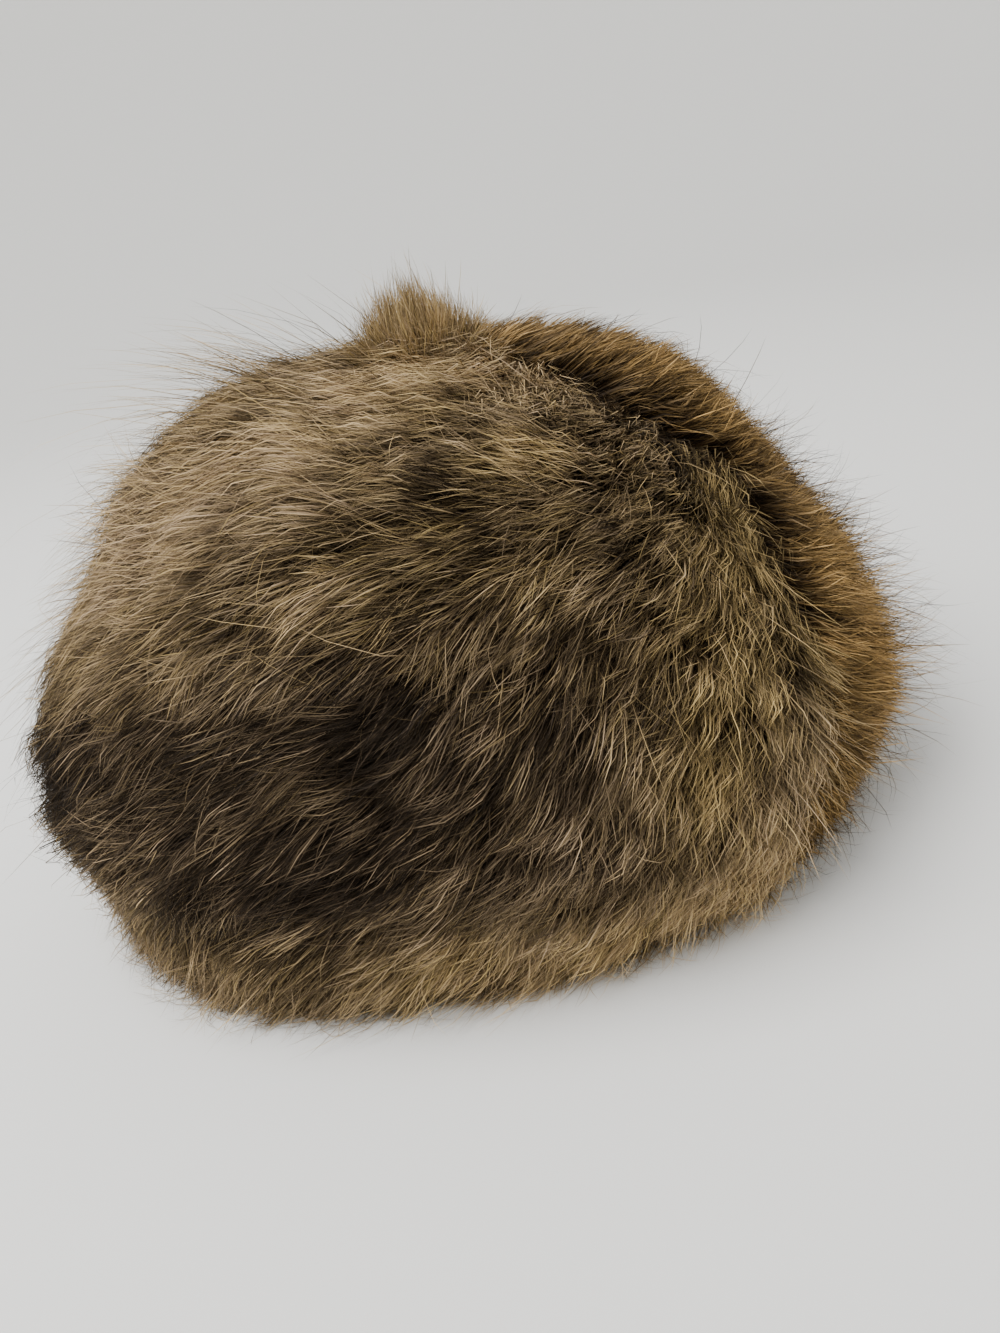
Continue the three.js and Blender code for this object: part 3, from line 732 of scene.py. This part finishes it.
def hair_dye():
    """Colours hair by the dye chart: U is how pale it is, and V goes from root to tip, in rows
    from cool to warm. The root is dark, then comes a paler band, and the tip is dark again."""
    group = bpy.data.node_groups.new("hair_dye", "ShaderNodeTree")
    for name in ("Root", "Cool band", "Warm band", "Tip", "Dark tint"):
        group.interface.new_socket(name, in_out="INPUT", socket_type="NodeSocketColor")
    for name in ("Band start", "Band end", "Tip darkness", "Darkest", "Palest"):
        group.interface.new_socket(name, in_out="INPUT", socket_type="NodeSocketFloat")
    group.interface.new_socket("Color", in_out="OUTPUT", socket_type="NodeSocketColor")
    nodes, links = group.nodes, group.links
    given, made = nodes.new("NodeGroupInput").outputs, nodes.new("NodeGroupOutput").inputs
    chart, split = nodes.new("ShaderNodeUVMap"), nodes.new("ShaderNodeSeparateXYZ")
    chart.uv_map = "OFBake"
    links.new(chart.outputs["UV"], split.inputs["Vector"])

    def feed(socket, value):
        if isinstance(value, (int, float)):
            socket.default_value = value
        else:
            links.new(value, socket)

    def worked(operation, *values):
        node = nodes.new("ShaderNodeMath")
        node.operation = operation
        for socket, value in zip(node.inputs, values):
            feed(socket, value)
        return node.outputs["Value"]

    def eased(value, low, high):
        node = nodes.new("ShaderNodeMapRange")
        node.interpolation_type = "SMOOTHSTEP"
        feed(node.inputs["Value"], value)
        feed(node.inputs["From Min"], low)
        feed(node.inputs["From Max"], high)
        return node.outputs["Result"]

    def mixed(share, first, second):
        node = nodes.new("ShaderNodeMixRGB")
        feed(node.inputs["Fac"], share)
        links.new(first, node.inputs["Color1"])
        links.new(second, node.inputs["Color2"])
        return node.outputs["Color"]

    stacked = worked("MULTIPLY", split.outputs["Y"], DYE_ROWS)
    along = worked("FRACT", stacked)
    warm = worked("DIVIDE", worked("FLOOR", stacked), DYE_ROWS - 1)
    band = mixed(warm, given["Cool band"], given["Warm band"])
    banded = mixed(eased(along, given["Band start"], given["Band end"]), given["Root"], band)
    ending = worked("MULTIPLY", eased(along, TIP_FROM, TIP_TO), given["Tip darkness"])
    ended = mixed(ending, banded, given["Tip"])
    tinted = nodes.new("ShaderNodeMixRGB")
    tinted.blend_type = "MULTIPLY"
    links.new(eased(split.outputs["X"], TINTED_FROM, TINTED_TO), tinted.inputs["Fac"])
    links.new(ended, tinted.inputs["Color1"])
    links.new(given["Dark tint"], tinted.inputs["Color2"])
    paleness = worked("POWER", split.outputs["X"], PALENESS_CURVE)
    reach = worked("SUBTRACT", given["Palest"], given["Darkest"])
    level = worked("ADD", worked("MULTIPLY", paleness, reach), given["Darkest"])
    scaled = nodes.new("ShaderNodeVectorMath")
    scaled.operation = "SCALE"
    links.new(tinted.outputs["Color"], scaled.inputs[0])
    links.new(level, scaled.inputs["Scale"])
    links.new(scaled.outputs["Vector"], made["Color"])
    return group


HAIR_DYE = hair_dye()


def hair_material(name, values):
    """A hair material, with the dye group's values by the names of its sockets."""
    material, nodes, links, shader = material_named(name)
    dye = nodes.new("ShaderNodeGroup")
    dye.node_tree = HAIR_DYE
    for socket, value in values.items():
        dye.inputs[socket].default_value = (*value, 1) if isinstance(value, tuple) else value
    links.new(dye.outputs["Color"], shader.inputs["Base Color"])
    shader.inputs["Roughness"].default_value = HAIR_ROUGHNESS
    shader.inputs["Specular IOR Level"].default_value = HAIR_SPECULAR
    return material


PATCH_TONE, PROUD_PAINTED_SHADE = 0.17, 0.7
TANGLED_TONE, TANGLED_PALER = 0.28, 0.02
WARMTH_PATCH = 18 * MM
PATCH_WARMTH, HAIR_WARMTH = 0.12, 0.15


def pelt_hair(name, pelt, kind, look, seed):
    """Grows one kind of hair on a pelt, colours it by the pelt's markings and painted light and shade, and
    makes its piece.
    """
    hairs = grown(pelt["side"], kind, seed)
    draw, count, seen = hairs["draw"], len(hairs["root"]), hairs["seen"]
    tone, warmth = marked(seen, pelt["marks"], pelt["tone"], pelt["warmth"])
    patches = PATCH_TONE * rippled(hairs["streaks"], TUFT_SIZE, TONE_SEED)
    tone += kind["tone_by_tuft"] * draw.normal(size=count)[hairs["leader"]]
    tone += kind["tone_by_hair"] * draw.normal(size=count) + patches
    # Painted shade between the locks: hairs whose tips lie deeper are darker, and proud ones paler.
    tone += PROUD_PAINTED_SHADE * hairs["proud"]
    tone += hairs["tangle"] * (TANGLED_TONE * draw.normal(size=count) + TANGLED_PALER)
    # Hair that rises off the fur is paler: painted light for light shining through backlit strands.
    tone += kind["paler"] + kind["risen_painted_backlight"] * hairs["rise"]
    patches = PATCH_WARMTH * rippled(seen, WARMTH_PATCH, seed + 6)
    warmth += patches + HAIR_WARMTH * draw.normal(size=count)
    hat_piece(name, hair_mesh(name, hairs, kind, tone, warmth), look, pelt["node"])


# The kinds of hair. Root and tip are depths in the fur, arch is how far up its middle already is,
# sway is in radians, and each gather draws about so many hairs together.
WOOL = dict(
    count=54000, length=16 * MM, uneven=0.3, root=0.42, tip=0.82, ragged=0.34, arch=0.8, sway=0.65,
    bow=1.4 * MM, wispy=0.2, gathers=[dict(hairs=16, pull=0.5)], tone_by_tuft=0.08, tone_by_hair=0.08,
    paler=-0.02, risen_painted_backlight=0.1, width=0.38 * MM, stations=(0, 0.5, 1),
)
GUARD_HAIR = dict(
    count=38000, length=24 * MM, uneven=0.4, root=0.42, tip=0.96, ragged=0.4, arch=0.86, sway=0.5,
    bow=0.9 * MM, wispy=1.0, gathers=[dict(hairs=90, pull=0.4), dict(hairs=12, pull=0.55)],
    tone_by_tuft=0.18, tone_by_hair=0.12, paler=0.0, risen_painted_backlight=0.1, width=0.26 * MM,
    stations=(0, 0.36, 0.7, 1),
)
OVERHAIR = dict(
    count=60000, length=20 * MM, uneven=0.45, root=0.55, tip=1.0, ragged=0.4, arch=0.86, sway=0.6,
    bow=0.8 * MM, wispy=0.8, gathers=[dict(hairs=90, pull=0.35), dict(hairs=12, pull=0.5)],
    tone_by_tuft=0.17, tone_by_hair=0.17, paler=0.06, risen_painted_backlight=0.0, width=0.20 * MM,
    stations=(0, 0.5, 1),
)
STRAY_HAIR = dict(
    count=8200, length=30 * MM, uneven=0.5, root=0.5, tip=1.02, ragged=0.2, arch=0.72, sway=0.8,
    bow=2.5 * MM, wispy=12.0, gathers=[], tone_by_tuft=0.0, tone_by_hair=0.16, paler=0.12,
    risen_painted_backlight=0.2, width=0.15 * MM, stations=(0, 0.3, 0.55, 0.8, 1),
)
GRIZZLED = {
    "Root": (0.033, 0.018, 0.009),
    "Cool band": (0.372, 0.268, 0.162),
    "Warm band": (0.400, 0.284, 0.118),
    "Tip": (0.050, 0.029, 0.014),
    "Dark tint": (1.04, 0.97, 0.93),
    "Band start": 0.25,
    "Band end": 0.72,
    "Tip darkness": 0.8,
    "Darkest": 0.048,
    "Palest": 1.6,
}
RIGHT_PELT = dict(side="right", marks=MARKS_RIGHT, tone=0.47, warmth=0.42, node="fur_right", slot="fur_brown")
# Wispy hair: paler roots and tips and lighter ends than the grizzled hair, partly the strays' own pale tan
# and partly painted light for light shining through thin backlit hair.
WISPY_BACKLIT = {**GRIZZLED, "Root": (0.10, 0.066, 0.040), "Tip": (0.20, 0.145, 0.090), "Tip darkness": 0.5}
grizzled_hair = hair_material("grizzled_hair", GRIZZLED)
wispy_backlit_hair = hair_material("wispy_backlit_hair", WISPY_BACKLIT)
pelt_hair("right_wool", RIGHT_PELT, WOOL, grizzled_hair, seed=11)
pelt_hair("right_guard_hair", RIGHT_PELT, GUARD_HAIR, grizzled_hair, seed=31)
pelt_hair("right_overhair", RIGHT_PELT, OVERHAIR, grizzled_hair, seed=41)
pelt_hair("right_stray_hair", RIGHT_PELT, STRAY_HAIR, wispy_backlit_hair, seed=61)

# The left pelt: golden brown fur on the hat's front and left side, in plusher wool with fewer
# guard hairs, tipped dark. It is combed away from the seam: degrees below the level way forward
# from it and on round the left side.
COMBED_LEFT = [
    dict(turn=-150, rim=85, hem=85, low=88, waist=90, mid=90, chest=90, neck=90, high=90, top=90, crown=90),
    dict(turn=-90, rim=70, hem=70, low=70, waist=70, mid=70, chest=70, neck=70, high=75, top=80, crown=90),
    dict(turn=-45, rim=55, hem=50, low=50, waist=50, mid=50, chest=50, neck=50, high=55, top=70, crown=90),
    dict(turn=0, rim=55, hem=45, low=38, waist=32, mid=30, chest=30, neck=30, high=40, top=60, crown=85),
    dict(turn=20, rim=60, hem=55, low=45, waist=36, mid=35, chest=35, neck=40, high=50, top=65, crown=80),
    dict(turn=35, rim=65, hem=70, low=65, waist=72, mid=80, chest=85, neck=82, high=70, top=65, crown=70),
    dict(turn=50, rim=75, hem=85, low=88, waist=90, mid=90, chest=90, neck=90, high=80, top=70, crown=70),
]
# The left pelt's strokes. The cream front edge is partly cream hair and partly painted light shining through
# the thin hair at the edge; the strokes beside the seam are painted shade in the parting's valley, partly
# over dark hair.
MARKS_LEFT = [
    dict(mark="cream front edge with painted light", a=(16, 0.34), b=(26, 0.12), wide=12, paler=0.3, warmer=0.0),
    dict(mark="painted shade beside the seam, low", a=(24, 0.48), b=(30, 0.34), wide=5, paler=-0.3, warmer=-0.2),
    dict(mark="painted shade beside the seam", a=(28, 0.80), b=(22, 0.62), wide=5, paler=-0.3, warmer=-0.2),
    dict(mark="pale behind the crown", a=(300, 0.80), b=(0, 0.86), wide=20, paler=0.1, warmer=-0.2),
]
PLUSH_WOOL = dict(
    count=58000, length=14 * MM, uneven=0.35, root=0.42, tip=0.92, ragged=0.24, arch=0.7, sway=0.8,
    bow=1.4 * MM, wispy=0.1, gathers=[dict(hairs=20, pull=0.45)], tone_by_tuft=0.1, tone_by_hair=0.1,
    paler=0.06, risen_painted_backlight=0.1, width=0.37 * MM, stations=(0, 0.5, 1),
)
DARK_GUARD_HAIR = dict(
    count=40000, length=19 * MM, uneven=0.45, root=0.45, tip=1.0, ragged=0.26, arch=0.68, sway=0.65,
    bow=1.2 * MM, wispy=1.0, gathers=[dict(hairs=60, pull=0.3), dict(hairs=9, pull=0.5)],
    tone_by_tuft=0.12, tone_by_hair=0.18, paler=-0.05, risen_painted_backlight=0.0, width=0.21 * MM,
    stations=(0, 0.5, 1),
)
DARK_STRAY_HAIR = dict(STRAY_HAIR, count=5000, length=27 * MM, paler=-0.26, risen_painted_backlight=0.0)
GOLDEN = {
    **GRIZZLED,
    "Root": (0.05, 0.027, 0.010),
    "Cool band": (0.41, 0.281, 0.145),
    "Warm band": (0.455, 0.282, 0.102),
}
LEFT_PELT = dict(side="left", marks=MARKS_LEFT, tone=0.445, warmth=0.75, node="fur_left", slot="fur_golden")
golden_hair = hair_material("golden_hair", GOLDEN)
brown_underfur = mottled_material(
    "brown_underfur", dark=(0.05, 0.035, 0.018), pale=(0.13, 0.09, 0.045), **UNDERFUR_GRAIN
)
underfur("left_underfur", "left", brown_underfur, "fur_left")
pelt_hair("left_wool", LEFT_PELT, PLUSH_WOOL, golden_hair, seed=51)
pelt_hair("left_guard_hair", LEFT_PELT, DARK_GUARD_HAIR, golden_hair, seed=71)
pelt_hair("left_stray_hair", LEFT_PELT, DARK_STRAY_HAIR, golden_hair, seed=81)

# The tuft: longer tan hair of the left pelt that stands up round the crown's highest point, where
# the sewn pelts' ends meet, and falls open a little towards the back.
TUFT = dict(
    count=4000, locks=70, foot=12 * MM, crowding=0.6, sunk=5 * MM, deeper_outside=2 * MM,
    height=18 * MM, lower_outside=0.85, uneven=0.6, above_mean=0.6, spread=9 * MM, inward=0.3,
    outward=1.6, tousled=2.6 * MM, lean_back=1 * MM, gathered=0.75, bulge=1.5 * MM, kinked=1.0 * MM,
    tone=0.72, tone_by_lock=0.1, tone_by_hair=0.14, least_warmth=0.2,
)
TUFT_HAIR = dict(STRAY_HAIR, width=0.2 * MM)
draw = np.random.default_rng(91)
count = TUFT["count"]
crown_point = on_form(FUR_FORM, 0.0, 1.0)
out_share = draw.uniform(0, 1, count) ** TUFT["crowding"]
turn = draw.uniform(0, 2 * np.pi, count)
outward = np.stack((np.cos(turn), np.sin(turn), np.zeros(count)), -1)
upright = np.array((0.0, 0.0, 1.0))
roots = crown_point + outward * (out_share * TUFT["foot"])[:, None]
roots = roots - upright * (TUFT["sunk"] + TUFT["deeper_outside"] * out_share**2)[:, None]
rise = TUFT["height"] * (1 - TUFT["lower_outside"] * out_share)
rise = rise * (1 + TUFT["uneven"] * draw.uniform(-1, TUFT["above_mean"], count))
spread = TUFT["spread"] * out_share * draw.uniform(-TUFT["inward"], TUFT["outward"], count)
tips = crown_point + outward * (out_share * TUFT["foot"] + spread)[:, None] + upright * rise[:, None]
tips = tips + draw.normal(size=(count, 3)) * TUFT["tousled"] + np.array((0.0, TUFT["lean_back"], 0.0))
leader = nearest_leader(roots, TUFT["locks"], draw)
tips = tips + (tips[leader] - tips) * draw.uniform(0, TUFT["gathered"], count)[:, None]
middles = roots * 0.5 + tips * 0.5 + outward * TUFT["bulge"]
middles = middles + draw.normal(size=(count, 3)) * TUFT["kinked"]
tuft_hairs = dict(root=roots, middle=middles, tip=trimmed(middles, tips), outward=outward, draw=draw)
tone = TUFT["tone"] + TUFT["tone_by_lock"] * draw.normal(size=count)[leader]
tone = tone + TUFT["tone_by_hair"] * draw.normal(size=count)
warmth = draw.uniform(TUFT["least_warmth"], 1, count)
tuft = hair_mesh("crown_tuft", tuft_hairs, TUFT_HAIR, tone, warmth)
hat_piece("crown_tuft", tuft, wispy_backlit_hair, "fur_left")

# The stage: a plain pale floor that runs up into a curved backdrop all round, lit softly by the
# room and by one square soft box overhead.
FLOOR_REACH, BACKDROP_BEND, BACKDROP_HEIGHT = 0.9, 0.7, 1.6
BEND_STEPS, SPOKES = 12, 72
profile = [(FLOOR_REACH, 0.0)]
for step in range(1, BEND_STEPS + 1):
    angle = step / BEND_STEPS * math.pi / 2
    profile.append((FLOOR_REACH + BACKDROP_BEND * math.sin(angle), BACKDROP_BEND * (1 - math.cos(angle))))
profile.append((FLOOR_REACH + BACKDROP_BEND, BACKDROP_HEIGHT))
sweep_points, sweep_faces = [], [tuple(range(SPOKES))]
for reach, height in profile:
    for spoke in range(SPOKES):
        angle = 2 * math.pi * spoke / SPOKES
        sweep_points.append((reach * math.cos(angle), reach * math.sin(angle), height))
for ring in range(len(profile) - 1):
    for spoke in range(SPOKES):
        beside = (spoke + 1) % SPOKES
        low, high = ring * SPOKES, (ring + 1) * SPOKES
        sweep_faces.append((low + spoke, high + spoke, high + beside, low + beside))
sweep_mesh = bpy.data.meshes.new("backdrop")
sweep_mesh.from_pydata(sweep_points, [], sweep_faces)
sweep_mesh.polygons.foreach_set("use_smooth", np.ones(len(sweep_faces), bool))
backdrop = bpy.data.objects.new("backdrop", sweep_mesh)
bpy.context.scene.collection.objects.link(backdrop)
paper, _nodes, _links, paper_shader = material_named("pale_paper")
paper_shader.inputs["Base Color"].default_value = (0.80, 0.79, 0.76, 1)
paper_shader.inputs["Roughness"].default_value = 0.8
sweep_mesh.materials.append(paper)

world = bpy.data.worlds.new("soft_room")
world.use_nodes = True
world.node_tree.nodes["Background"].inputs["Color"].default_value = (0.95, 0.97, 1.0, 1)
world.node_tree.nodes["Background"].inputs["Strength"].default_value = 1.0
bpy.context.scene.world = world

SOFT_BOX_AT, HAT_MIDDLE = Vector((-0.2, 0.45, 1.1)), Vector((0, 0, 0.07))
SOFT_BOX_SIDE, SOFT_BOX_POWER = 0.9, 21
lamp = bpy.data.lights.new("overhead", "AREA")
lamp.shape = "SQUARE"
lamp.size = SOFT_BOX_SIDE
lamp.energy = SOFT_BOX_POWER
soft_box = bpy.data.objects.new("overhead", lamp)
soft_box.location = SOFT_BOX_AT
soft_box.rotation_euler = (HAT_MIDDLE - SOFT_BOX_AT).to_track_quat("-Z", "Y").to_euler()
bpy.context.scene.collection.objects.link(soft_box)
